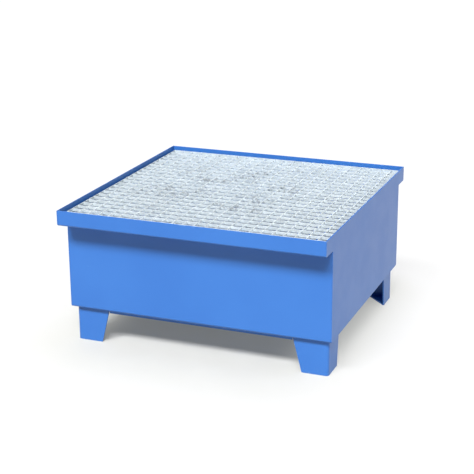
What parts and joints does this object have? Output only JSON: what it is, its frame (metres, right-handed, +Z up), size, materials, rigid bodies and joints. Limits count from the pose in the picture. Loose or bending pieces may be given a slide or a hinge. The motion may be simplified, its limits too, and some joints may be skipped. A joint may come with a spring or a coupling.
{
  "type": "spill containment pallet",
  "caption": "Square sheet-steel spill containment pallet: a folded and welded sump on four tapered feet, with a lift-out galvanised grating set below the rim.",
  "frame": {"origin": "on the floor, at the centre of the footprint", "axes": "+X to the right, +Y to the rear, +Z up; the two rims run along X and the bearing bars along Y"},
  "size_m": [0.815, 0.815, 0.424],
  "materials": {
    "blue_powder_coat": "semi-gloss powder coat over welded steel sheet",
    "galvanised_steel": "hot-dip galvanised, matt grey-white with spangle"
  },
  "bodies": {
    "sump": {"base_bar_front": "blue_powder_coat", "base_bar_left": "blue_powder_coat", "base_bar_rear": "blue_powder_coat", "base_bar_right": "blue_powder_coat", "foot_front_left": "blue_powder_coat", "foot_front_right": "blue_powder_coat", "foot_rear_left": "blue_powder_coat", "foot_rear_right": "blue_powder_coat", "foot_sole_front_left": "blue_powder_coat", "foot_sole_front_right": "blue_powder_coat", "foot_sole_rear_left": "blue_powder_coat", "foot_sole_rear_right": "blue_powder_coat", "side_plate_left": "blue_powder_coat", "side_plate_right": "blue_powder_coat", "tub_sheet": "blue_powder_coat"},
    "grating": {"banding_bar_front": "galvanised_steel", "banding_bar_left": "galvanised_steel", "banding_bar_rear": "galvanised_steel", "banding_bar_right": "galvanised_steel", "bearing_bar_01": "galvanised_steel", "bearing_bar_02": "galvanised_steel", "bearing_bar_03": "galvanised_steel", "bearing_bar_04": "galvanised_steel", "bearing_bar_05": "galvanised_steel", "bearing_bar_06": "galvanised_steel", "bearing_bar_07": "galvanised_steel", "bearing_bar_08": "galvanised_steel", "bearing_bar_09": "galvanised_steel", "bearing_bar_10": "galvanised_steel", "bearing_bar_11": "galvanised_steel", "bearing_bar_12": "galvanised_steel", "bearing_bar_13": "galvanised_steel", "bearing_bar_14": "galvanised_steel", "bearing_bar_15": "galvanised_steel", "bearing_bar_16": "galvanised_steel", "bearing_bar_17": "galvanised_steel", "bearing_bar_18": "galvanised_steel", "bearing_bar_19": "galvanised_steel", "bearing_bar_20": "galvanised_steel", "bearing_bar_21": "galvanised_steel", "bearing_bar_22": "galvanised_steel", "bearing_bar_23": "galvanised_steel", "cross_bars": "galvanised_steel"}
  },
  "joints": [
    {"name": "grating_lift", "type": "slide", "parent": "sump", "child": "grating", "axis": [0, 0, 1], "range_m": [0, 0.2]}
  ]
}
